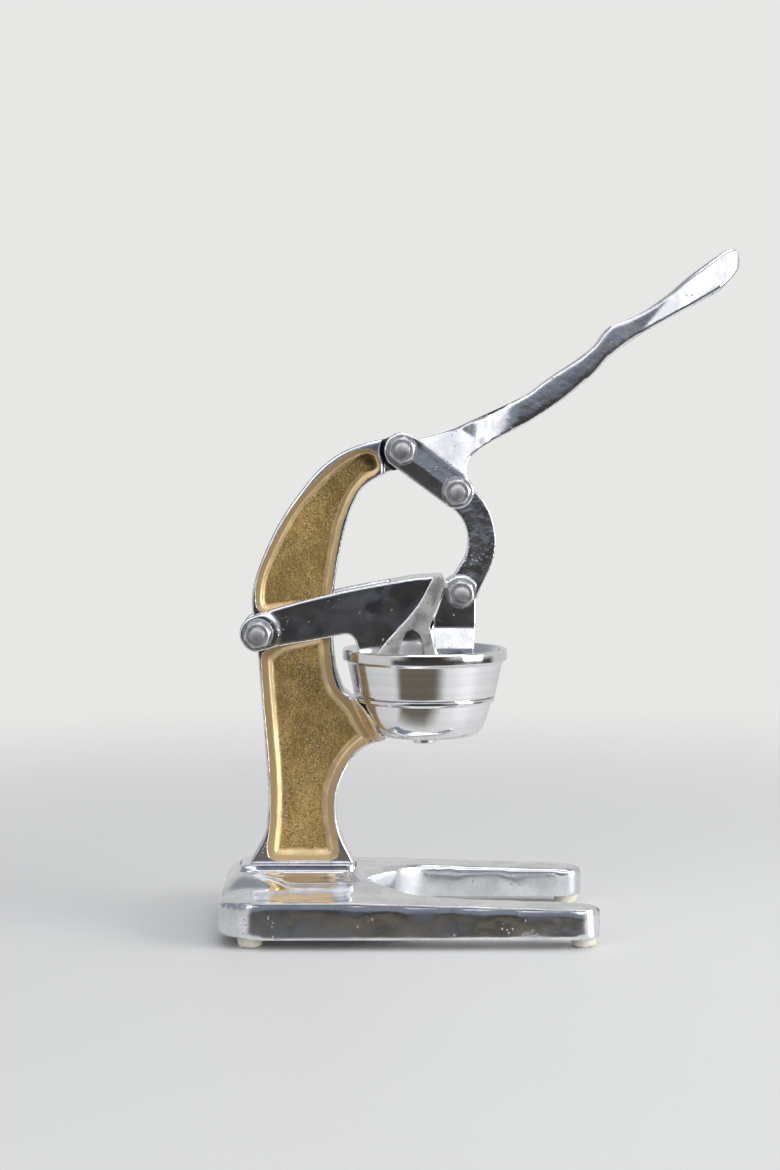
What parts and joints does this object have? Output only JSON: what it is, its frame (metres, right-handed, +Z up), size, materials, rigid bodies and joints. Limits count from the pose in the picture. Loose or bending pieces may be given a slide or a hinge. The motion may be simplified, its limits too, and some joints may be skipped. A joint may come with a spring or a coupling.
{
  "type": "citrus press juicer",
  "caption": "Hand-lever citrus press: cast aluminium base and arched column, pull-down handle, curved link, press arm with domed plunger, and a strainer cup seated on a drip bowl.",
  "frame": {"origin": "on the table, in the middle of the whole outline from the rear of the base to the tip of the handle", "axes": "+X from the column towards the handle tip, +Y across the press away from the nuts, +Z up"},
  "size_m": [0.3134, 0.16, 0.4105],
  "materials": {
    "polished_casting": "hand-polished cast aluminium",
    "column_casting": "polished rims round recessed panels in textured gold paint",
    "turned_aluminium": "lathe-turned and mirror polished",
    "zinc_fastener": "bright zinc-plated steel",
    "foot_rubber": "cream rubber"
  },
  "bodies": {
    "frame": {"base": "polished_casting", "column": "column_casting", "bowl": "turned_aluminium", "head_bolt": "zinc_fastener", "head_nut": "zinc_fastener", "head_washers": "zinc_fastener", "arm_bolt": "zinc_fastener", "arm_nut": "zinc_fastener", "arm_washers": "zinc_fastener", "foot_rear_left": "foot_rubber", "foot_rear_right": "foot_rubber", "foot_front_left": "foot_rubber", "foot_front_right": "foot_rubber", "foot_screws": "zinc_fastener", "column_bolts": "zinc_fastener", "column_washers": "zinc_fastener", "bowl_screws": "zinc_fastener"},
    "handle": {"handle": "polished_casting", "crank_bolt": "zinc_fastener", "crank_nut": "zinc_fastener", "crank_washers": "zinc_fastener"},
    "link": {"link": "polished_casting"},
    "press": {"press_arm": "polished_casting", "link_bolt": "zinc_fastener", "link_nut": "zinc_fastener", "link_washers": "zinc_fastener"},
    "strainer": {"strainer": "turned_aluminium"}
  },
  "joints": [
    {"name": "handle_lift", "type": "hinge", "parent": "frame", "child": "handle", "pos_m": [-0.04725, 0, 0.2895], "axis": [0, -1, 0], "range_deg": [0, 70]},
    {"name": "link_swing", "type": "hinge", "parent": "handle", "child": "link", "pos_m": [-0.01425, 0, 0.2645], "axis": [0, -1, 0], "range_deg": [-94.2, 0]},
    {"name": "arm_lift", "type": "hinge", "parent": "frame", "child": "press", "pos_m": [-0.13375, 0, 0.1795], "axis": [0, -1, 0], "range_deg": [0, 26.5]},
    {"name": "strainer_turn", "type": "hinge", "parent": "frame", "child": "strainer", "pos_m": [-0.03325, 0, 0.15], "axis": [0, 0, 1], "continuous": true}
  ],
  "couplings": [
    {"joint": "link_swing", "follows": "handle_lift", "ratio": -1.3455},
    {"joint": "arm_lift", "follows": "handle_lift", "ratio": 0.3775}
  ]
}
